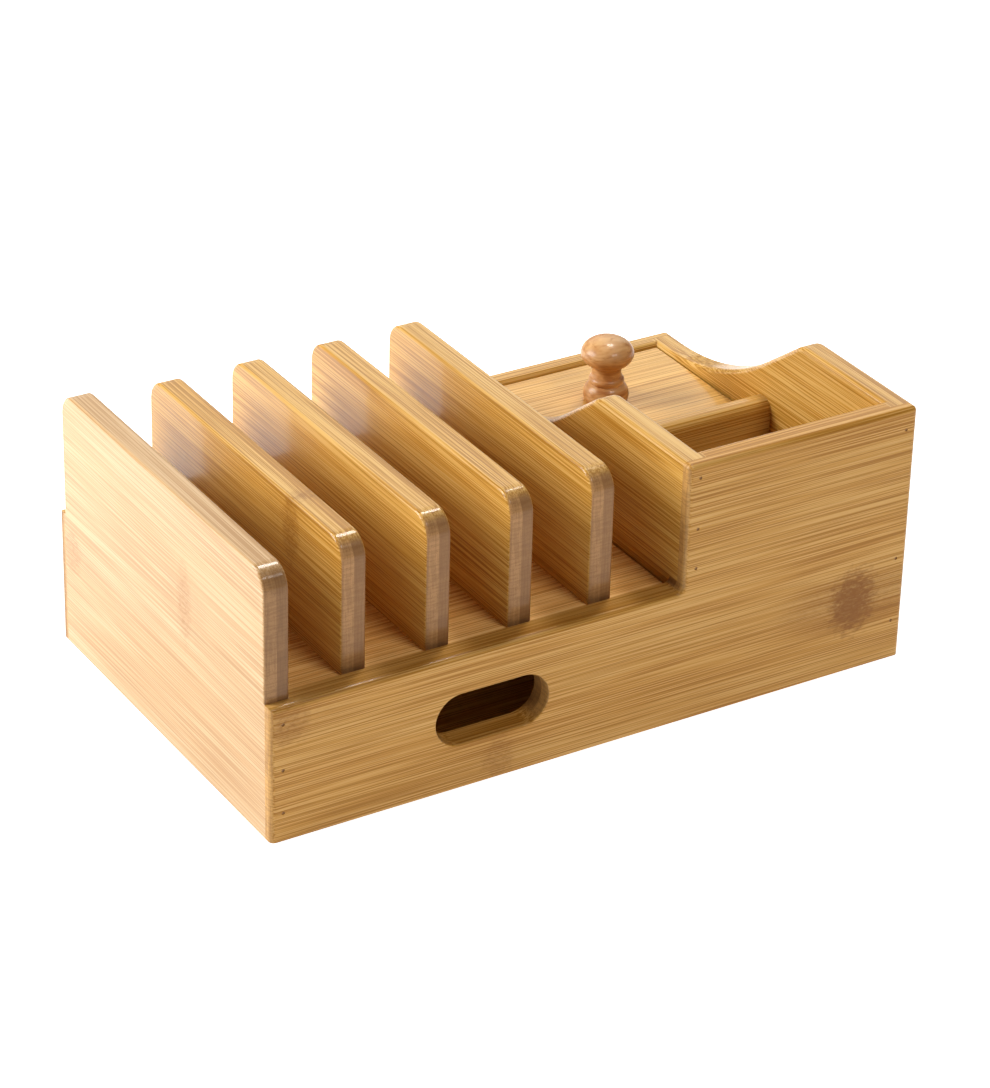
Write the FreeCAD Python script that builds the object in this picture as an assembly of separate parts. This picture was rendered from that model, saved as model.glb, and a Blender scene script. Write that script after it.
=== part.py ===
import FreeCAD, Part
import math
import os

# Bamboo desk organizer, in millimetres. Every board is laid out from the left front bottom corner:
# X runs right along the front, Y runs back, Z runs up. save() moves the finished part so that its
# origin is the centre of the underside.

V = FreeCAD.Vector

# ---- Driving dimensions -------------------------------------------------------------------------
LENGTH = 330.0
DEPTH = 202.5
TALL_H = 129.0            # dividers, end panel and the front of the tall box
LOW_H = 66.5              # front and back panels beside the divider tray
REAR_H = 80.5             # back of the tall box
BOARD = 12.0              # thickness of the walls and dividers
BACK_BOARD = 10.0         # thickness of the back panel
LAP = 5.2                 # front and back panel material left over a wall's end
EASE = 1.5                # rounding of the edges of the dividers and the end panel
CASE_EASE = 2.5           # rounding that runs over the panels and the box walls together
SMALL_EASE = 0.8          # rounding of the deck, the lid and the outlet
BOX_X = 206.8             # left face of the mid wall, where the tall box begins
STEP_R = 3.0              # inside corner of the step in the front and back panels

# side walls of the tall box: level at the front, then an S-curve down to the back
CREST_Y = 72.0
CREST_R = 11.0
SLOPE_DEG = 36.5
TOE_R = 144.0

BASE_T = 6.0
CORNER_R = 11.0           # top corners of the end panel and the dividers

# divider tray
DIVIDERS = 4
DECK_TOP = 64.5
DECK_T = 8.0
DECK_GAP = 0.8            # between the deck and the walls round it
DIVIDER_INSET = 0.5       # divider ends stand in from the deck's edges
GROOVE = 2.0              # depth of the groove that each divider stands in
CABLE_W = 12.0
CABLE_L = 40.0
CABLE_Y = 150.0

# cable outlet in the front panel
OUTLET_W = 57.0
OUTLET_H = 25.4
OUTLET_Z = 34.6

# tall box
PARTITION_Y = 95.5
PARTITION_H = 92.0
PARTITION_R = 5.0
LID_TOP = 79.0
LID_T = 9.0
LID_GAP = 0.7
LID_BACK_GAP = 1.1
CLEAT = 8.0               # square section of the strips that carry the lid and the deck

# turned knob: the radius and the height above the lid at each change of its profile
KNOB_X = 265.0
KNOB_Y = 156.0
KNOB_FOOT = (10.0, 0.0)
KNOB_BASE = (10.9, 3.8)
KNOB_SHOULDER = (8.8, 8.5)
KNOB_GROOVE = (7.9, 9.2)
KNOB_RING = (8.5, 10.9)
KNOB_RING_TOP = (7.6, 12.5)
KNOB_NECK = (7.0, 14.8)
KNOB_NECK_TOP_R = 7.7
KNOB_HEAD_R = 12.7
KNOB_HEAD_HALF = 8.0
KNOB_HEAD_Z = 24.6

# fasteners
NAIL_R = 0.8
NAIL_L = 24.0
NAIL_SET = 0.4            # nail heads sit this far below the surface
SCREW_R = 1.75
SCREW_HEAD_R = 3.4
SCREW_HEAD_T = 2.2
DIVIDER_SCREW_L = 24.0
KNOB_SCREW_L = 26.0
CLEAT_SCREW_L = 14.0
SCREW_INSET = 34.0        # screws stand this far in from the ends of a board
LID_CLEAT_SCREW = 24.0    # and this far each side of the middle of the short strips

# ---- Derived places -----------------------------------------------------------------------------
BACK_IN = DEPTH - BACK_BOARD
BOX_IN_L = BOX_X + BOARD
BOX_IN_R = LENGTH - BOARD
PITCH = BOX_X / (DIVIDERS + 1)
DECK_BOTTOM = DECK_TOP - DECK_T
DECK_Y0 = BOARD + DECK_GAP
DECK_Y1 = BACK_IN - DECK_GAP
PARTITION_BACK = PARTITION_Y + BOARD
LID_BOTTOM = LID_TOP - LID_T
OUTLET_X = (BOX_X + BOARD) / 2
LID_Y0 = PARTITION_BACK + LID_GAP
LID_Y1 = BACK_IN - LID_BACK_GAP
NAIL_COLUMNS = {
    "front": {BOARD / 2: (14.0, 35.3, 58.0), BOX_X + BOARD / 2: (77.1, 96.9, 122.3),
              LENGTH - BOARD / 2: (19.7, 52.4, 118.4)},
    "back": {BOARD / 2: (14.0, 35.3, 58.0), BOX_X + BOARD / 2: (19.7, 45.0, 70.0),
             LENGTH - BOARD / 2: (19.7, 45.0, 70.0)},
}


# ---- Shape helpers ------------------------------------------------------------------------------
def block(x0, x1, y0, y1, z0, z1):
    return Part.makeBox(x1 - x0, y1 - y0, z1 - z0, V(x0, y0, z0))


def rod(radius, start, direction, length):
    return Part.makeCylinder(radius, length, start, direction)


def group(shapes):
    return Part.makeCompound(shapes)


def line(a, b):
    return Part.LineSegment(a, b).toShape()


def arc(a, middle, b):
    return Part.Arc(a, middle, b).toShape()


def prism(edges, direction):
    return Part.Face(Part.Wire(edges)).extrude(direction)


def ease(shape, radius, wanted):
    """Rounds the edges whose bounding box the test accepts."""
    edges = [edge for edge in shape.Edges if wanted(edge.BoundBox)]
    return shape.makeFillet(radius, edges)


def near(a, b):
    return abs(a - b) < 1e-4


def obround(centre, length_dir, length, width, through):
    """A slot with round ends, as a solid to cut away. through is the vector that it is swept along."""
    half = (length - width) / 2
    radius = width / 2
    across = length_dir.cross(V(through).normalize())
    a = centre + length_dir * half
    b = centre - length_dir * half
    edges = [
        line(b + across * radius, a + across * radius),
        arc(a + across * radius, a + length_dir * radius, a - across * radius),
        line(a - across * radius, b - across * radius),
        arc(b - across * radius, b - length_dir * radius, b + across * radius),
    ]
    return prism(edges, through)


def countersunk_screw(tip_dir, head, length):
    """A straight screw whose flat head lies in the surface at head."""
    cone = Part.makeCone(SCREW_HEAD_R, SCREW_R, SCREW_HEAD_T, head, tip_dir)
    shank = rod(SCREW_R, head, tip_dir, length)
    return cone.fuse(shank).removeSplitter()


def save(name, shape):
    placed = shape.copy()
    placed.translate(V(-LENGTH / 2, -DEPTH / 2, 0))
    placed.exportStep("parts/" + name + ".step")


# ---- Boards of the case -------------------------------------------------------------------------
# The two panels and the two box walls are joined, rounded as one, and then cut apart again along
# their joints, so the rounding runs on over every joint. A wall's ends stand in pockets behind the
# laps of the panels.
MID_ZONE = block(BOX_X, BOX_IN_L, LAP, DEPTH - LAP, BASE_T, TALL_H)
RIGHT_ZONE = block(BOX_IN_R, LENGTH, LAP, DEPTH - LAP, 0, TALL_H)
LEFT_ZONE = block(0, BOARD, LAP, DEPTH - LAP, 0, TALL_H)


def stepped_panel(y0, thickness, right_height):
    """A long board that steps up at the tall box, with a small round inside corner at the step."""
    turn = STEP_R * math.sqrt(0.5)
    centre_x = BOX_X - STEP_R
    centre_z = LOW_H + STEP_R
    points = {
        "bottom_left": V(0, y0, 0),
        "bottom_right": V(LENGTH, y0, 0),
        "top_right": V(LENGTH, y0, right_height),
        "step_top": V(BOX_X, y0, right_height),
        "step_foot": V(BOX_X, y0, centre_z),
        "step_turn": V(centre_x + turn, y0, centre_z - turn),
        "step_low": V(centre_x, y0, LOW_H),
        "top_left": V(0, y0, LOW_H),
    }
    edges = [
        line(points["bottom_left"], points["bottom_right"]),
        line(points["bottom_right"], points["top_right"]),
        line(points["top_right"], points["step_top"]),
        line(points["step_top"], points["step_foot"]),
        arc(points["step_foot"], points["step_turn"], points["step_low"]),
        line(points["step_low"], points["top_left"]),
        line(points["top_left"], points["bottom_left"]),
    ]
    return prism(edges, V(0, thickness, 0))


def box_wall(x, z0):
    """A side of the tall box, with the S-curve along its top."""
    angle = math.radians(SLOPE_DEG)
    y0 = LAP
    y1 = DEPTH - LAP

    def crest(a):
        return V(x, CREST_Y + CREST_R * math.sin(a), TALL_H - CREST_R * (1 - math.cos(a)))

    slope_end_z = REAR_H + TOE_R * (1 - math.cos(angle))
    slope_end_y = crest(angle).y + (crest(angle).z - slope_end_z) / math.tan(angle)
    toe_y = slope_end_y + TOE_R * math.sin(angle)

    def toe(a):
        return V(x, toe_y - TOE_R * math.sin(a), REAR_H + TOE_R * (1 - math.cos(a)))

    edges = [
        line(V(x, y0, z0), V(x, y0, TALL_H)),
        line(V(x, y0, TALL_H), crest(0)),
        arc(crest(0), crest(angle / 2), crest(angle)),
        line(crest(angle), toe(angle)),
        arc(toe(angle), toe(angle / 2), toe(0)),
        line(toe(0), V(x, y1, REAR_H)),
        line(V(x, y1, REAR_H), V(x, y1, z0)),
        line(V(x, y1, z0), V(x, y0, z0)),
    ]
    return prism(edges, V(BOARD, 0, 0))


def in_plane(box, y):
    return near(box.YMin, y) and near(box.YMax, y)


def on_shell_rim(box):
    """Test for the edges that are rounded on the joined panels and walls."""
    outer_rim = (in_plane(box, 0) or in_plane(box, DEPTH)) and box.ZMax > 1
    inner_rim = (in_plane(box, BOARD) or in_plane(box, BACK_IN)) and box.XLength > BOARD
    wall_top = box.XLength < 1e-3 and box.YLength > 1
    return outer_rim or (inner_rim or wall_top) and box.ZMin > REAR_H - 1


def case_shell():
    shell = stepped_panel(0, BOARD, TALL_H).fuse([
        stepped_panel(BACK_IN, BACK_BOARD, REAR_H),
        box_wall(BOX_X, BASE_T),
        box_wall(BOX_IN_R, 0),
    ]).removeSplitter()
    return ease(shell, CASE_EASE, on_shell_rim)


def panel_part(shell, y0, y1, inner_y, nails):
    panel = shell.common(block(0, LENGTH, y0, y1, 0, TALL_H)).cut([LEFT_ZONE, MID_ZONE, RIGHT_ZONE])
    panel = ease(panel, SMALL_EASE, lambda box: in_plane(box, inner_y) and box.XLength > BOX_X / 2
                 and near(box.ZMin, LOW_H) and near(box.ZMax, LOW_H))
    return panel.cut(nails)


def front_panel(shell, nails):
    panel = panel_part(shell, 0, BOARD, BOARD, nails)
    outlet = obround(V(OUTLET_X, 0, OUTLET_Z), V(1, 0, 0), OUTLET_W, OUTLET_H, V(0, BOARD, 0))
    panel = panel.cut(outlet)
    return ease(panel, SMALL_EASE, lambda box: in_plane(box, 0) and box.XMin > BOARD
                and OUTLET_Z - OUTLET_H < box.ZMin < OUTLET_Z and box.XMax < BOX_X)


def upright(x, y0, y1, z0):
    """A board on edge whose two top corners are round, from z0 up to the full height."""
    turn = CORNER_R * (1 - math.sqrt(0.5))
    top = TALL_H
    edges = [
        line(V(x, y0, z0), V(x, y1, z0)),
        line(V(x, y1, z0), V(x, y1, top - CORNER_R)),
        arc(V(x, y1, top - CORNER_R), V(x, y1 - turn, top - turn), V(x, y1 - CORNER_R, top)),
        line(V(x, y1 - CORNER_R, top), V(x, y0 + CORNER_R, top)),
        arc(V(x, y0 + CORNER_R, top), V(x, y0 + turn, top - turn), V(x, y0, top - CORNER_R)),
        line(V(x, y0, top - CORNER_R), V(x, y0, z0)),
    ]
    board = prism(edges, V(BOARD, 0, 0))
    return ease(board, EASE, lambda box: box.XLength < 1e-3 and box.ZMax > z0 + 1)


def left_end_panel(nails):
    """Its foot stands square behind the laps, and the part above them is rounded all round."""
    foot = block(0, BOARD, LAP, DEPTH - LAP, 0, LOW_H)
    upper = upright(0, LAP, DEPTH - LAP, LOW_H)
    return foot.fuse(upper).removeSplitter().cut(nails)


def partition():
    board = block(BOX_IN_L, BOX_IN_R, PARTITION_Y, PARTITION_BACK, BASE_T, PARTITION_H)
    return ease(board, PARTITION_R, lambda box: near(box.ZMin, PARTITION_H) and box.XLength > BOARD)


def cleat(x0, x1, y0, y1, top, screws):
    return block(x0, x1, y0, y1, top - CLEAT, top).cut(screws)


def nail_group(side):
    start_y = NAIL_SET if side == "front" else DEPTH - NAIL_SET
    along = V(0, 1, 0) if side == "front" else V(0, -1, 0)
    pins = []
    for x, heights in NAIL_COLUMNS[side].items():
        pins += [rod(NAIL_R, V(x, start_y, z), along, NAIL_L) for z in heights]
    return pins


def nail_holes(side):
    start_y = 0 if side == "front" else DEPTH
    along = V(0, 1, 0) if side == "front" else V(0, -1, 0)
    holes = []
    for x, heights in NAIL_COLUMNS[side].items():
        holes += [rod(NAIL_R, V(x, start_y, z), along, NAIL_L + NAIL_SET) for z in heights]
    return group(holes)


# ---- Cleats and their screws --------------------------------------------------------------------
DECK_CLEATS = {
    "deck_cleat_front": (BOARD, BOX_X, BOARD, BOARD + CLEAT),
    "deck_cleat_back": (BOARD, BOX_X, BACK_IN - CLEAT, BACK_IN),
}
LID_CLEATS = {
    "lid_cleat_left": (BOX_IN_L, BOX_IN_L + CLEAT, PARTITION_BACK, BACK_IN),
    "lid_cleat_right": (BOX_IN_R - CLEAT, BOX_IN_R, PARTITION_BACK, BACK_IN),
}


def cleat_screws():
    """Two screws through each strip into the board that it lies against."""
    screws = []
    deck_z = DECK_BOTTOM - CLEAT / 2
    for x in (BOARD + SCREW_INSET, BOX_X - SCREW_INSET):
        screws.append(countersunk_screw(V(0, -1, 0), V(x, BOARD + CLEAT, deck_z), CLEAT_SCREW_L))
        screws.append(countersunk_screw(V(0, 1, 0), V(x, BACK_IN - CLEAT, deck_z), CLEAT_SCREW_L))
    lid_z = LID_BOTTOM - CLEAT / 2
    middle = (PARTITION_BACK + BACK_IN) / 2
    for y in (middle - LID_CLEAT_SCREW, middle + LID_CLEAT_SCREW):
        screws.append(countersunk_screw(V(-1, 0, 0), V(BOX_IN_L + CLEAT, y, lid_z), CLEAT_SCREW_L))
        screws.append(countersunk_screw(V(1, 0, 0), V(BOX_IN_R - CLEAT, y, lid_z), CLEAT_SCREW_L))
    return screws


# ---- Divider tray -------------------------------------------------------------------------------
def divider_screws():
    screws = []
    for i in range(1, DIVIDERS + 1):
        x = i * PITCH + BOARD / 2
        for y in (DECK_Y0 + SCREW_INSET, DECK_Y1 - SCREW_INSET):
            screws.append(countersunk_screw(V(0, 0, 1), V(x, y, DECK_BOTTOM), DIVIDER_SCREW_L))
    return screws


def divider_blank(i):
    return upright(i * PITCH, DECK_Y0 + DIVIDER_INSET, DECK_Y1 - DIVIDER_INSET, DECK_TOP - GROOVE)


def deck(screws):
    board = block(BOARD + DECK_GAP, BOX_X - DECK_GAP, DECK_Y0, DECK_Y1, DECK_BOTTOM, DECK_TOP)
    board = ease(board, SMALL_EASE, lambda box: near(box.ZMin, DECK_TOP))
    cuts = [divider_blank(i) for i in range(1, DIVIDERS + 1)]
    for i in range(DIVIDERS + 1):
        left = i * PITCH + BOARD
        centre = V((left + (i + 1) * PITCH) / 2, CABLE_Y, DECK_BOTTOM)
        cuts.append(obround(centre, V(0, 1, 0), CABLE_L, CABLE_W, V(0, 0, DECK_T)))
    return board.cut(cuts + [screws])


# ---- Lid and knob -------------------------------------------------------------------------------
def lid(screw):
    board = block(BOX_IN_L + LID_GAP, BOX_IN_R - LID_GAP, LID_Y0, LID_Y1, LID_BOTTOM, LID_TOP)
    board = ease(board, SMALL_EASE, lambda box: near(box.ZMin, LID_TOP))
    return board.cut(screw)


def knob(screw):
    def at(radius, height):
        return V(KNOB_X + radius, KNOB_Y, LID_TOP + height)

    def head(a):
        return at(KNOB_HEAD_R * math.cos(a), KNOB_HEAD_Z + KNOB_HEAD_HALF * math.sin(a))

    meet = -math.acos(KNOB_NECK_TOP_R / KNOB_HEAD_R)
    outline = Part.BSplineCurve()
    steps = 12
    outline.interpolate([head(meet + (math.pi / 2 - meet) * k / steps) for k in range(steps + 1)])
    edges = [
        line(at(0, 0), at(*KNOB_FOOT)),
        arc(at(*KNOB_FOOT), at(*KNOB_BASE), at(*KNOB_SHOULDER)),
        line(at(*KNOB_SHOULDER), at(*KNOB_GROOVE)),
        arc(at(*KNOB_GROOVE), at(*KNOB_RING), at(*KNOB_RING_TOP)),
        arc(at(*KNOB_RING_TOP), at(*KNOB_NECK), head(meet)),
        outline.toShape(),
        line(head(math.pi / 2), at(0, 0)),
    ]
    face = Part.Face(Part.Wire(edges))
    turned = face.revolve(V(KNOB_X, KNOB_Y, 0), V(0, 0, 1), 360)
    return turned.cut(screw)


# ---- Build --------------------------------------------------------------------------------------
os.makedirs("parts", exist_ok=True)

front_holes = nail_holes("front")
back_holes = nail_holes("back")
all_holes = group([front_holes, back_holes])
strip_screws = cleat_screws()
strip_screw_group = group(strip_screws)
tray_screws = divider_screws()
tray_screw_group = group(tray_screws)
knob_screw = countersunk_screw(V(0, 0, 1), V(KNOB_X, KNOB_Y, LID_BOTTOM), KNOB_SCREW_L)

all_case_holes = [all_holes, strip_screw_group]
shell = case_shell()
save("front_panel", front_panel(shell, group([front_holes, strip_screw_group])))
save("back_panel", panel_part(shell, BACK_IN, DEPTH, BACK_IN, group([back_holes, strip_screw_group])))
save("left_end_panel", left_end_panel(all_holes))
save("mid_wall", shell.common(MID_ZONE).cut(all_case_holes))
save("right_wall", shell.common(RIGHT_ZONE).cut(all_case_holes))
save("base_board", block(BOARD, BOX_IN_R, BOARD, BACK_IN, 0, BASE_T))
save("partition", partition())
for name, (x0, x1, y0, y1) in DECK_CLEATS.items():
    save(name, cleat(x0, x1, y0, y1, DECK_BOTTOM, strip_screw_group))
for name, (x0, x1, y0, y1) in LID_CLEATS.items():
    save(name, cleat(x0, x1, y0, y1, LID_BOTTOM, strip_screw_group))
save("front_nails", group(nail_group("front")))
save("back_nails", group(nail_group("back")))
save("cleat_screws", strip_screw_group)

save("deck", deck(tray_screw_group))
for i in range(1, DIVIDERS + 1):
    save("divider_" + str(i), divider_blank(i).cut(tray_screw_group))
save("divider_screws", tray_screw_group)

save("lid", lid(knob_screw))
save("lid_knob", knob(knob_screw))
save("knob_screw", knob_screw)
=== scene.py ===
import math
from collections import namedtuple

import bpy
from mathutils import Matrix, Vector


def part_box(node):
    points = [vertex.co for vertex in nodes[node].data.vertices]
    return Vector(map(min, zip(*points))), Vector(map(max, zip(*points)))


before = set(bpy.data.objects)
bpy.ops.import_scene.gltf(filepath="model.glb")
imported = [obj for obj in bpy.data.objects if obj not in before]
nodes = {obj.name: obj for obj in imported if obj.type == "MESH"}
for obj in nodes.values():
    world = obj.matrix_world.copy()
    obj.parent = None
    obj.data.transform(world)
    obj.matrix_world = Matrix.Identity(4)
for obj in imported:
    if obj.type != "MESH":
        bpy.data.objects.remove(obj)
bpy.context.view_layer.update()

X, Y, Z = 0, 1, 2

# Lengths are in metres, and colours are linear. Noise rates are cells in a metre on each axis.

# ---- Bamboo -------------------------------------------------------------------------------------
BAMBOO_LIGHT, PALE_LIGHT = (0.690, 0.420, 0.125), (0.750, 0.510, 0.290)
BAMBOO_MID, PALE_MID = (0.585, 0.310, 0.060), (0.665, 0.410, 0.195)
BAMBOO_DARK, PALE_DARK = (0.400, 0.180, 0.021), (0.560, 0.315, 0.125)
STRIP_TINT = (1.0, 0.93, 0.80)
STRIP_TINT_SHARE = 0.35
STRIP = 0.0205            # width of one bamboo strip in a board
STRIP_SHIFT = 0.0023      # the strips' edges lie a few such steps further on one board than on another
PLY = 0.006               # thickness of one layer of a board
SLIDE = 3.0               # each strip's pattern slides along the grain by up to this much
WANDER = 0.0008           # how far a streak strays sideways
WANDER_RATES = (7.0, 25.0, 1.0)

# length and width of each kind of streak, and its share in the tone
BROAD_STREAK, BROAD_SHARE = (0.600, 0.0060), 0.11
MEDIUM_STREAK, MEDIUM_SHARE = (0.220, 0.0019), 0.11
FINE_STREAK, FINE_SHARE = (0.100, 0.00060), 0.78
STRIP_SHARE = 0.045       # how far whole strips differ in tone
TONE_STOPS = (0.41, 0.495, 0.58)      # tones at which the colour is dark, middling and light
DASH_STREAK = (0.050, 0.00055)
DASH_RANGE = (0.29, 0.39)
DASH_STRENGTH, DASH_SHADE = 0.55, 0.9

# ---- Nodes of the bamboo ------------------------------------------------------------------------
# Place from the board's low corner, half size along and across the grain, and the strength of its stain
# and of its specks.
Mark = namedtuple("Mark", "along across half_along half_across stain specks")
NODE_BROWN = (0.255, 0.090, 0.006)
PALE_NODE_LIFT = 0.6      # a pale board's stains are this much lighter
MOTTLE_RATES = (230.0, 420.0, 300.0)
SPECK_RATES = (330.0, 760.0, 760.0)
SPECK_RANGE = (0.38, 0.54)
RAGGEDNESS = 3.6          # how far the mottling breaks up a stain's outline
STAIN_RANGE = (0.0, 1.7)
STAIN_MOTTLE, STAIN_BASE = 0.90, 0.46
HALO_STRETCH = 0.07       # the halo is nearly four times as long as the stain
HALO_RANGE = (0.1, 1.3)
HALO_SPECKS, HALO_STRENGTH = 0.20, 0.28

# ---- End grain ----------------------------------------------------------------------------------
END_LIGHT = (0.600, 0.330, 0.100)
END_BROWN = (0.480, 0.248, 0.090)
END_DARK = (0.210, 0.092, 0.028)
END_RANGE = (0.30, 0.80)  # the surface turns from side grain to end grain as it faces along the grain
BUNDLE_RATES = (60.0, 1100.0, 1300.0)
BUNDLE_RANGE = (0.12, 0.45)
ROW_RATES = (1.0, 60.0, 1100.0)
SAW_RATES = (1.0, 900.0, 90.0)
LINE_RANGE = (0.38, 0.56)
BUNDLE_STRENGTH, ROW_STRENGTH, SAW_STRENGTH = 0.35, 0.30, 0.30
PLY_CONTRAST = 0.75       # how far the darker layer goes towards END_DARK
PLY_SHARE, OWN_SHARE = 0.7, 0.3

# ---- Lacquer ------------------------------------------------------------------------------------
LACQUER_ROUGHNESS, ROUGHNESS_SPREAD, END_ROUGHNESS = 0.27, 0.16, 0.20
LACQUER_SPECULAR, LACQUER_COAT, LACQUER_COAT_ROUGHNESS = 0.20, 0.36, 0.11
DASH_RELIEF, NODE_RELIEF, BUNDLE_RELIEF = -0.5, -0.6, -0.2
BAMBOO_BUMP = (0.20, 0.00018)         # strength and depth

# ---- Knob, screws and nails ---------------------------------------------------------------------
KNOB_LIGHT = (0.680, 0.390, 0.160)
KNOB_MID = (0.560, 0.275, 0.095)
KNOB_DARK = (0.400, 0.160, 0.045)
KNOB_STOPS = (0.36, 0.50, 0.64)
KNOB_WIDE_RATES, KNOB_WIDE_TWIST, KNOB_WIDE_SHARE = (40.0, 70.0, 190.0), 1.2, 0.65
KNOB_THIN_RATES, KNOB_THIN_TWIST, KNOB_THIN_SHARE = (120.0, 260.0, 900.0), 0.3, 0.35
PORE_RANGE, PORE_STRENGTH = (0.28, 0.38), 0.5
KNOB_ROUGHNESS, KNOB_ROUGHNESS_SPREAD = 0.34, 0.14
KNOB_SPECULAR, KNOB_COAT, KNOB_COAT_ROUGHNESS = 0.35, 0.22, 0.12
KNOB_BUMP = (0.15, 0.0002)
ZINC, ZINC_ROUGHNESS = (0.62, 0.60, 0.55), 0.30
NAIL_BROWN, NAIL_ROUGHNESS, NAIL_METALLIC = (0.42, 0.21, 0.07), 0.50, 0.1
GRIME_RATE = 1400.0
GRIME_STOPS, GRIME_SHADE = (0.35, 0.65), 0.55
GRIME_ROUGHNESS = 0.25
STEEL_BUMP = (0.15, 0.0001)

# ---- Stage --------------------------------------------------------------------------------------
FLOOR_HALF = 6.0
PAPER_GREY = 0.50
PAPER_ROUGHNESS, PAPER_SPECULAR = 0.9, 0.1
FLOOR_GLOW = 0.92         # painted light: the paper's glow fills in the object's shadow and keeps the paper white there
BACK_GLOW = 1.40          # painted light: the paper behind the object glows more strongly, a painted pool of light
GLOW_FRONT_Y, GLOW_BACK_Y = 0.00, 0.25
WORLD_LIGHT = 0.03        # fill from all round; the world itself is seen as white

# place, aim, size, watts and colour of each soft light
WHITE, WARM, WARMER, AMBER = (1.0, 1.0, 1.0), (1.0, 0.99, 0.97), (1.0, 0.99, 0.95), (1.0, 0.97, 0.93)
LIGHTS = {
    "key": ((-1.40, 0.80, 0.90), (0, 0, 0.05), (1.1, 1.1), 45, WHITE),
    "top": ((0.60, 0.50, 1.60), (0.05, 0, 0.05), (0.36, 0.30), 11, WARM),
    "backdrop": ((1.20, 2.00, 1.30), (0, 0, 0.05), (2.6, 1.4), 18, WARMER),
    "front_low": ((0.10, -1.70, 0.60), (0, 0, 0.03), (1.6, 0.6), 1.2, AMBER),
    "front_high": ((0.30, -1.10, 1.50), (0, 0, 0.03), (0.6, 0.35), 9.0, AMBER),
}

# ---- Camera -------------------------------------------------------------------------------------
CAMERA_AZIMUTH = 31.86    # degrees that the view turns from +Y towards +X
CAMERA_ELEVATION = 28.94  # degrees that the view looks down
CAMERA_ROLL = 1.50        # degrees
CAMERA_DISTANCE = 1.7788
CAMERA_AIM = Vector((-0.0063, -0.0200, 0.0645))
CAMERA_LENS = 130.35      # mm
CAMERA_SENSOR = 36        # mm
CAMERA_CLIP = (0.05, 50)


def make_camera():
    azimuth = math.radians(CAMERA_AZIMUTH)
    elevation = math.radians(CAMERA_ELEVATION)
    forward = Vector((
        math.sin(azimuth) * math.cos(elevation),
        math.cos(azimuth) * math.cos(elevation),
        -math.sin(elevation),
    ))
    right = forward.cross(Vector((0, 0, 1))).normalized()
    up = right.cross(forward)
    turn = Matrix.Rotation(math.radians(CAMERA_ROLL), 3, -forward)
    right, up = turn @ right, turn @ up
    data = bpy.data.cameras.new("camera")
    data.lens = CAMERA_LENS
    data.sensor_width = CAMERA_SENSOR
    data.clip_start, data.clip_end = CAMERA_CLIP
    camera = bpy.data.objects.new("camera", data)
    axes = Matrix((right, up, -forward)).transposed().to_4x4()
    camera.matrix_world = Matrix.Translation(CAMERA_AIM - forward * CAMERA_DISTANCE) @ axes
    bpy.context.scene.collection.objects.link(camera)
    bpy.context.scene.camera = camera


# ---- Shader helpers -----------------------------------------------------------------------------
class Shader:
    """Adds nodes to one material and wires them, so that a texture reads as a list of formulas."""

    def __init__(self, name):
        self.material = bpy.data.materials.new(name)
        self.material.use_nodes = True
        self.tree = self.material.node_tree
        self.bsdf = self.tree.nodes["Principled BSDF"]

    def node(self, kind, **settings):
        made = self.tree.nodes.new(kind)
        for key, value in settings.items():
            setattr(made, key, value)
        return made

    def feed(self, socket, value):
        if isinstance(value, bpy.types.NodeSocket):
            self.tree.links.new(value, socket)
        elif isinstance(value, tuple) and len(value) == 3 and socket.type == "RGBA":
            socket.default_value = (*value, 1)
        else:
            socket.default_value = value

    def math(self, operation, a, b=0.0, c=0.0, clamp=False):
        made = self.node("ShaderNodeMath", operation=operation, use_clamp=clamp)
        for socket, value in zip(made.inputs, (a, b, c)):
            self.feed(socket, value)
        return made.outputs[0]

    def combine(self, x, y, z):
        made = self.node("ShaderNodeCombineXYZ")
        for socket, value in zip(made.inputs, (x, y, z)):
            self.feed(socket, value)
        return made.outputs[0]

    def object_place(self):
        """The three object coordinates, in metres, since the objects have no scale of their own."""
        split = self.node("ShaderNodeSeparateXYZ")
        self.feed(split.inputs[0], self.node("ShaderNodeTexCoord").outputs["Object"])
        return split.outputs

    def stretched(self, place, rates):
        """A vector with each coordinate of place multiplied by its own rate."""
        return self.combine(*(self.math("MULTIPLY", part, rate) for part, rate in zip(place, rates)))

    def noise(self, vector, detail=2.0, roughness=0.5, distortion=0.0):
        made = self.node("ShaderNodeTexNoise")
        self.feed(made.inputs["Vector"], vector)
        made.inputs["Scale"].default_value = 1.0
        made.inputs["Detail"].default_value = detail
        made.inputs["Roughness"].default_value = roughness
        made.inputs["Distortion"].default_value = distortion
        return made.outputs["Fac"]

    def random(self, vector):
        made = self.node("ShaderNodeTexWhiteNoise")
        self.feed(made.inputs["Vector"], vector)
        return made.outputs["Value"]

    def mix(self, factor, a, b, blend="MIX"):
        made = self.node("ShaderNodeMix", data_type="RGBA", blend_type=blend)
        self.feed(made.inputs[0], factor)
        self.feed(made.inputs[6], a)
        self.feed(made.inputs[7], b)
        return made.outputs[2]

    def ramp(self, value, stops, colours):
        made = self.node("ShaderNodeValToRGB")
        ramp = made.color_ramp
        while len(ramp.elements) < len(stops):
            ramp.elements.new(0.5)
        for element, position, colour in zip(ramp.elements, stops, colours):
            element.position = position
            element.color = (*colour, 1)
        self.feed(made.inputs[0], value)
        return made.outputs[0]

    def fade(self, value, low, high):
        """1 below low, 0 above high, smooth between."""
        made = self.node("ShaderNodeMapRange", interpolation_type="SMOOTHSTEP")
        self.feed(made.inputs[0], value)
        for socket, number in zip(list(made.inputs)[1:5], (low, high, 1.0, 0.0)):
            socket.default_value = number
        return made.outputs[0]

    def bump(self, height, strength, distance):
        made = self.node("ShaderNodeBump")
        made.inputs["Strength"].default_value = strength
        made.inputs["Distance"].default_value = distance
        self.feed(made.inputs["Height"], height)
        return made.outputs["Normal"]


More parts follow.
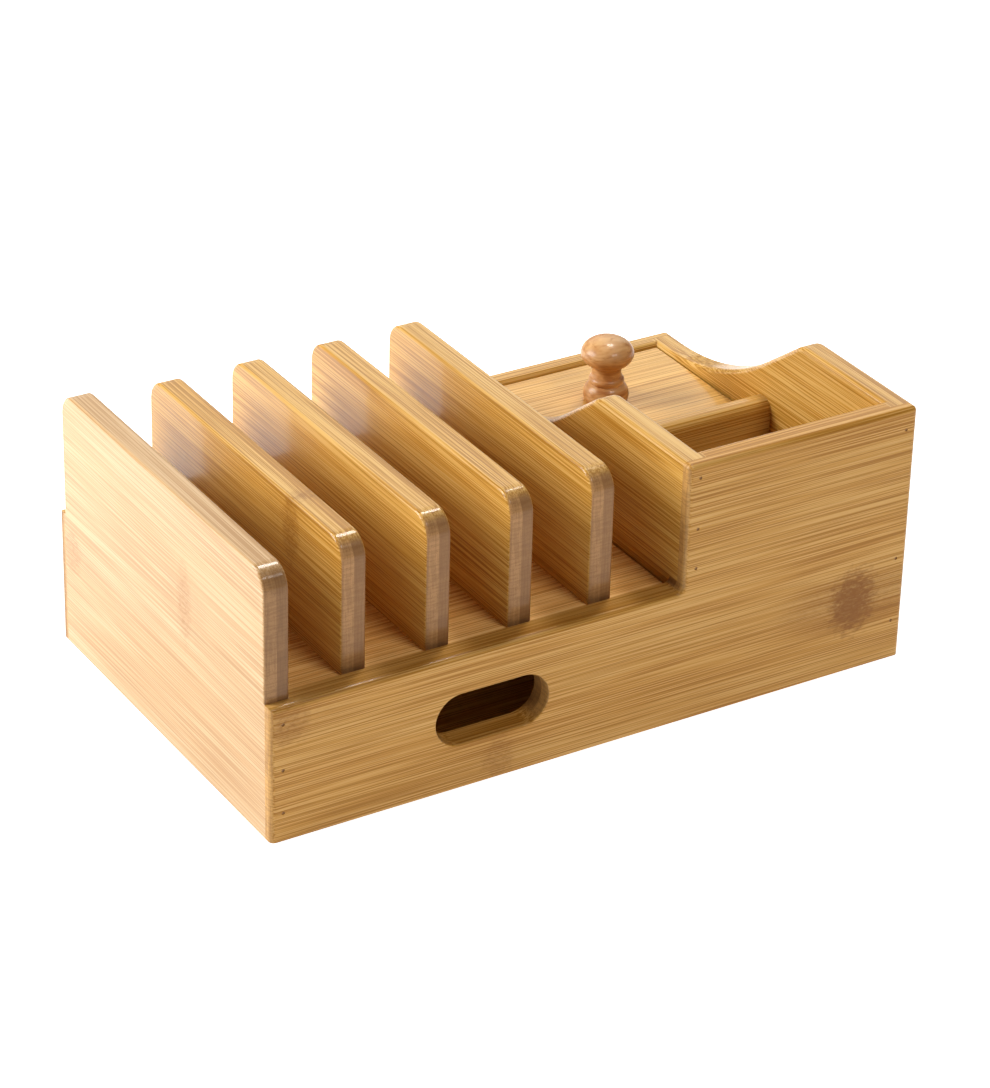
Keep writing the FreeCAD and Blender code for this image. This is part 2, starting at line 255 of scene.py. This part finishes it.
def paint(node, material):
    for slot in nodes[node].material_slots:
        slot.material = material


def scaled(colour, factor):
    return tuple(min(1.0, channel * factor) for channel in colour)


def tinted(colour, tint):
    return tuple(a * b for a, b in zip(colour, tint))


def mixed(a, b, share):
    return tuple(x + (y - x) * share for x, y in zip(a, b))


# ---- Bamboo boards ------------------------------------------------------------------------------
def board_place(s, node, grain, across, through):
    """Distances from the board's low corner along the grain, across the strips and through the layers,
    and how far the surface is end grain, from 0 to 1."""
    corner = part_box(node)[0]
    split = s.object_place()
    place = [s.math("SUBTRACT", split[axis], corner[axis]) for axis in (grain, across, through)]
    facing = s.node("ShaderNodeSeparateXYZ")
    s.feed(facing.inputs[0], s.node("ShaderNodeTexCoord").outputs["Normal"])
    along_grain = s.math("ABSOLUTE", facing.outputs[grain])
    return place, s.math("SUBTRACT", 1.0, s.fade(along_grain, *END_RANGE))


def strip_numbers(s, place, seed):
    """The number of the layer, and two random numbers for each strip of each layer."""
    shifted = s.math("ADD", place[1], STRIP_SHIFT * (seed % 9))
    strip = s.math("FLOOR", s.math("DIVIDE", shifted, STRIP))
    layer = s.math("FLOOR", s.math("DIVIDE", place[2], PLY))
    own = s.random(s.combine(strip, layer, float(seed)))
    other = s.random(s.combine(layer, strip, seed + 0.5))
    return layer, own, other


def streaks(s, place, size):
    """Noise drawn out along the grain."""
    length, width = size
    return s.noise(s.stretched(place, (1 / length, 1 / width, 1 / width)), 1.0)


def board_colours(pale, tone, tint):
    """The light, middling and dark colour of a board."""
    pairs = ((BAMBOO_LIGHT, PALE_LIGHT), (BAMBOO_MID, PALE_MID), (BAMBOO_DARK, PALE_DARK))
    return [tinted(scaled(mixed(full, faded, pale), tone), tint) for full, faded in pairs]


def add_marks(s, place, marks, pale, tone, colour, relief):
    """Nodes of the bamboo: a mottled stain, fine dark specks, and a faint halo along the grain."""
    brown = scaled(NODE_BROWN, tone)
    pale_brown = scaled(NODE_BROWN, tone * (1 + PALE_NODE_LIFT * pale))
    mottle = s.noise(s.stretched(place, MOTTLE_RATES), 2.0, 0.6)
    specks = s.fade(s.noise(s.stretched(place, SPECK_RATES), 2.0, 0.6), *SPECK_RANGE)
    for mark in marks:
        du = s.math("DIVIDE", s.math("SUBTRACT", place[0], mark.along), mark.half_along)
        dv = s.math("DIVIDE", s.math("SUBTRACT", place[1], mark.across), mark.half_across)
        du2 = s.math("MULTIPLY", du, du)
        dv2 = s.math("MULTIPLY", dv, dv)
        frayed = s.math("MULTIPLY_ADD", s.math("SUBTRACT", mottle, 0.5), RAGGEDNESS, s.math("ADD", du2, dv2))
        patch = s.fade(frayed, *STAIN_RANGE)
        halo = s.fade(s.math("MULTIPLY_ADD", du2, HALO_STRETCH, dv2), *HALO_RANGE)
        depth = s.math("MULTIPLY_ADD", mottle, STAIN_MOTTLE * mark.stain, STAIN_BASE * mark.stain)
        amount = s.math("MULTIPLY", patch, depth)
        amount = s.math("MULTIPLY_ADD", s.math("MULTIPLY", patch, specks), mark.specks, amount, clamp=True)
        outer_specks = s.math("MULTIPLY", halo, s.math("MULTIPLY", specks, HALO_SPECKS * mark.stain))
        amount = s.math("ADD", amount, outer_specks, clamp=True)
        colour = s.mix(s.math("MULTIPLY", halo, HALO_STRENGTH * mark.stain), colour, brown)
        colour = s.mix(amount, colour, pale_brown)
        relief = s.math("MULTIPLY_ADD", patch, s.math("MULTIPLY", mottle, NODE_RELIEF), relief)
    return colour, relief


def end_grain(s, place, layer, own, end, tone):
    """The colour of end grain, each layer in its own tone, and its fibre bundles."""
    cells = s.node("ShaderNodeTexVoronoi", feature="F1")
    cells.inputs["Scale"].default_value = 1.0
    s.feed(cells.inputs["Vector"], s.stretched(place, BUNDLE_RATES))
    bundles = s.fade(cells.outputs["Distance"], *BUNDLE_RANGE)
    rows = s.fade(s.noise(s.stretched(place, ROW_RATES), 1.0), *LINE_RANGE)
    saw_lines = s.fade(s.noise(s.stretched(place, SAW_RATES), 1.0), *LINE_RANGE)
    darker_layer = scaled(mixed(end, END_DARK, PLY_CONTRAST), tone)
    share = s.math("MULTIPLY_ADD", own, OWN_SHARE, s.math("MULTIPLY", layer, PLY_SHARE), clamp=True)
    colour = s.mix(share, scaled(end, tone), darker_layer)
    for pattern, strength in ((bundles, BUNDLE_STRENGTH), (rows, ROW_STRENGTH), (saw_lines, SAW_STRENGTH)):
        colour = s.mix(s.math("MULTIPLY", pattern, strength), colour, scaled(END_DARK, tone))
    return colour, bundles


def bamboo(node, grain, across, through, seed, pale=0.0, tone=1.0, tint=(1, 1, 1), end=END_LIGHT,
           gloss=1.0, marks=()):
    """Lacquered, laminated bamboo for one board. grain, across and through name the axes of the grain,
    the strips and the layers. pale goes from the usual colours to the pale ones, tone and tint multiply
    them, end is the colour of the end grain, and gloss multiplies the lacquer's reflection."""
    s = Shader(node + "_bamboo")
    place, end_on = board_place(s, node, grain, across, through)
    layer, own, other = strip_numbers(s, place, seed)
    u, v, w = place
    slid = s.math("MULTIPLY_ADD", own, SLIDE, u)
    wander = s.noise(s.stretched((slid, v, w), WANDER_RATES), 1.0)
    bent = (slid, s.math("MULTIPLY_ADD", wander, WANDER, v), w)

    broad = streaks(s, bent, BROAD_STREAK)
    medium = streaks(s, bent, MEDIUM_STREAK)
    fine = streaks(s, bent, FINE_STREAK)
    dashes = s.fade(streaks(s, bent, DASH_STREAK), *DASH_RANGE)
    value = s.math("MULTIPLY_ADD", medium, MEDIUM_SHARE, s.math("MULTIPLY", broad, BROAD_SHARE))
    value = s.math("MULTIPLY_ADD", fine, FINE_SHARE, value)
    value = s.math("MULTIPLY_ADD", s.math("SUBTRACT", own, 0.5), STRIP_SHARE, value)

    light, mid, dark = board_colours(pale, tone, tint)
    colour = s.ramp(value, TONE_STOPS, (dark, mid, light))
    colour = s.mix(s.math("MULTIPLY", dashes, DASH_STRENGTH), colour, scaled(dark, DASH_SHADE))
    tinted_strip = s.mix(1.0, colour, STRIP_TINT, "MULTIPLY")
    colour = s.mix(s.math("MULTIPLY", other, STRIP_TINT_SHARE), colour, tinted_strip)
    relief = s.math("MULTIPLY_ADD", dashes, DASH_RELIEF, fine)
    if marks:
        colour, relief = add_marks(s, place, marks, pale, tone, colour, relief)

    end_colour, bundles = end_grain(s, place, layer, own, end, tone)
    colour = s.mix(end_on, colour, end_colour)
    relief = s.math("MULTIPLY_ADD", s.math("MULTIPLY", end_on, bundles), BUNDLE_RELIEF, relief)
    rough = s.math("MULTIPLY_ADD", medium, ROUGHNESS_SPREAD, LACQUER_ROUGHNESS)
    s.feed(s.bsdf.inputs["Base Color"], colour)
    s.feed(s.bsdf.inputs["Roughness"], s.math("MULTIPLY_ADD", end_on, END_ROUGHNESS, rough))
    s.feed(s.bsdf.inputs["Normal"], s.bump(relief, *BAMBOO_BUMP))
    s.bsdf.inputs["Specular IOR Level"].default_value = LACQUER_SPECULAR * gloss
    s.bsdf.inputs["Coat Weight"].default_value = LACQUER_COAT * gloss
    s.bsdf.inputs["Coat Roughness"].default_value = LACQUER_COAT_ROUGHNESS
    paint(node, s.material)


def dress_boards():
    bamboo("front_panel", X, Z, Y, seed=3, tint=(0.95, 0.90, 0.91), gloss=0.65, marks=[
        Mark(0.3010, 0.0360, 0.0120, 0.0155, stain=1.00, specks=0.16),
        Mark(0.0085, 0.0570, 0.0100, 0.0095, stain=0.36, specks=0.22),
        Mark(0.1125, 0.0095, 0.0080, 0.0100, stain=0.26, specks=0.24),
    ])
    bamboo("back_panel", X, Z, Y, seed=8, marks=[
        Mark(0.0900, 0.0300, 0.0080, 0.0110, stain=0.60, specks=0.20),
        Mark(0.2450, 0.0520, 0.0070, 0.0100, stain=0.30, specks=0.22),
    ])
    # painted light: this board is made paler and less saturated than the others, standing in for the
    # bleached look of its face in the strong key light
    bamboo("left_end_panel", Y, Z, X, seed=5, pale=0.8, tone=0.840, end=END_BROWN, marks=[
        Mark(0.0730, 0.0790, 0.0060, 0.0190, stain=0.22, specks=0.24),
        Mark(0.1840, 0.0500, 0.0080, 0.0110, stain=0.22, specks=0.24),
    ])
    bamboo("mid_wall", Y, Z, X, seed=11, end=END_BROWN)
    bamboo("right_wall", Y, Z, X, seed=13, marks=[
        Mark(0.0600, 0.0450, 0.0080, 0.0110, stain=0.50, specks=0.20),
    ])
    bamboo("base_board", X, Y, Z, seed=17, tone=0.95, marks=[
        Mark(0.1300, 0.0700, 0.0080, 0.0110, stain=0.40, specks=0.20),
    ])
    bamboo("partition", X, Z, Y, seed=19, tone=0.93)
    bamboo("deck", X, Y, Z, seed=23, pale=0.35, tone=1.45)
    bamboo("lid", X, Y, Z, seed=29, pale=0.05, tone=1.12)
    divider_marks = {1: [Mark(0.0450, 0.0530, 0.0070, 0.0160, stain=0.42, specks=0.26)]}
    for number in range(1, 5):
        marks = divider_marks.get(number, ())
        bamboo("divider_" + str(number), Y, Z, X, seed=31 + 3 * number, end=END_BROWN, marks=marks)
    for seed, node in enumerate(("deck_cleat_front", "deck_cleat_back"), 47):
        bamboo(node, X, Z, Y, seed, tone=0.9)
    for seed, node in enumerate(("lid_cleat_left", "lid_cleat_right"), 53):
        bamboo(node, Y, Z, X, seed, tone=0.9)


# ---- Knob, screws and nails ---------------------------------------------------------------------
def turned_wood(name):
    s = Shader(name)
    place = s.object_place()
    wide = s.noise(s.stretched(place, KNOB_WIDE_RATES), 2.0, 0.55, KNOB_WIDE_TWIST)
    thin = s.noise(s.stretched(place, KNOB_THIN_RATES), 2.0, 0.55, KNOB_THIN_TWIST)
    value = s.math("MULTIPLY_ADD", thin, KNOB_THIN_SHARE, s.math("MULTIPLY", wide, KNOB_WIDE_SHARE))
    colour = s.ramp(value, KNOB_STOPS, (KNOB_DARK, KNOB_MID, KNOB_LIGHT))
    pores = s.fade(thin, *PORE_RANGE)
    colour = s.mix(s.math("MULTIPLY", pores, PORE_STRENGTH), colour, KNOB_DARK)
    s.feed(s.bsdf.inputs["Base Color"], colour)
    rough = s.math("MULTIPLY_ADD", wide, KNOB_ROUGHNESS_SPREAD, KNOB_ROUGHNESS)
    s.feed(s.bsdf.inputs["Roughness"], rough)
    s.feed(s.bsdf.inputs["Normal"], s.bump(thin, *KNOB_BUMP))
    s.bsdf.inputs["Specular IOR Level"].default_value = KNOB_SPECULAR
    s.bsdf.inputs["Coat Weight"].default_value = KNOB_COAT
    s.bsdf.inputs["Coat Roughness"].default_value = KNOB_COAT_ROUGHNESS
    return s.material


def steel(name, colour, roughness, metallic=1.0):
    s = Shader(name)
    grime = s.noise(s.stretched(s.object_place(), (GRIME_RATE, GRIME_RATE, GRIME_RATE)), 3.0, 0.6)
    s.feed(s.bsdf.inputs["Base Color"], s.ramp(grime, GRIME_STOPS, (scaled(colour, GRIME_SHADE), colour)))
    s.feed(s.bsdf.inputs["Roughness"], s.math("MULTIPLY_ADD", grime, GRIME_ROUGHNESS, roughness))
    s.feed(s.bsdf.inputs["Normal"], s.bump(grime, *STEEL_BUMP))
    s.bsdf.inputs["Metallic"].default_value = metallic
    return s.material


def dress_small_parts():
    paint("lid_knob", turned_wood("knob_wood"))
    zinc = steel("zinc_steel", ZINC, ZINC_ROUGHNESS)
    for node in ("cleat_screws", "divider_screws", "knob_screw"):
        paint(node, zinc)
    aged = steel("nail_steel", NAIL_BROWN, NAIL_ROUGHNESS, NAIL_METALLIC)
    for node in ("front_nails", "back_nails"):
        paint(node, aged)


# ---- Floor and lights ---------------------------------------------------------------------------
def make_floor():
    mesh = bpy.data.meshes.new("floor")
    corners = [(x, y, 0) for x, y in ((-1, -1), (1, -1), (1, 1), (-1, 1))]
    mesh.from_pydata([Vector(corner) * FLOOR_HALF for corner in corners], [], [(0, 1, 2, 3)])
    floor = bpy.data.objects.new("floor", mesh)
    bpy.context.scene.collection.objects.link(floor)
    s = Shader("floor_paper_painted_glow")
    s.bsdf.inputs["Base Color"].default_value = (PAPER_GREY, PAPER_GREY, PAPER_GREY, 1)
    s.bsdf.inputs["Roughness"].default_value = PAPER_ROUGHNESS
    s.bsdf.inputs["Specular IOR Level"].default_value = PAPER_SPECULAR
    s.bsdf.inputs["Emission Color"].default_value = (1, 1, 1, 1)
    # painted light: the paper glows, less in front of the object and more behind it, which also fills in the
    # object's shadow
    front = s.fade(s.object_place()[Y], GLOW_FRONT_Y, GLOW_BACK_Y)
    painted_glow = s.math("MULTIPLY_ADD", front, FLOOR_GLOW - BACK_GLOW, BACK_GLOW)
    s.feed(s.bsdf.inputs["Emission Strength"], painted_glow)
    mesh.materials.append(s.material)


def area_light(name, place, aim, size, power, colour):
    data = bpy.data.lights.new(name, "AREA")
    data.shape = "RECTANGLE"
    data.size, data.size_y = size
    data.energy = power
    data.color = colour
    light = bpy.data.objects.new(name, data)
    light.location = place
    light.visible_camera = False
    light.rotation_euler = (Vector(aim) - Vector(place)).to_track_quat("-Z", "Y").to_euler()
    bpy.context.scene.collection.objects.link(light)


def make_world():
    """A white world to the camera, which lights the object only by WORLD_LIGHT."""
    world = bpy.data.worlds.new("studio")
    bpy.context.scene.world = world
    world.use_nodes = True
    tree = world.node_tree
    background = tree.nodes["Background"]
    background.inputs["Color"].default_value = (1.0, 1.0, 1.0, 1)
    seen = tree.nodes.new("ShaderNodeMath")
    seen.operation = "MAXIMUM"
    seen.inputs[1].default_value = WORLD_LIGHT
    tree.links.new(tree.nodes.new("ShaderNodeLightPath").outputs["Is Camera Ray"], seen.inputs[0])
    tree.links.new(seen.outputs[0], background.inputs["Strength"])


make_camera()
dress_boards()
dress_small_parts()
make_floor()
make_world()
for light_name, settings in LIGHTS.items():
    area_light(light_name, *settings)
bpy.context.scene.view_settings.view_transform = "Standard"
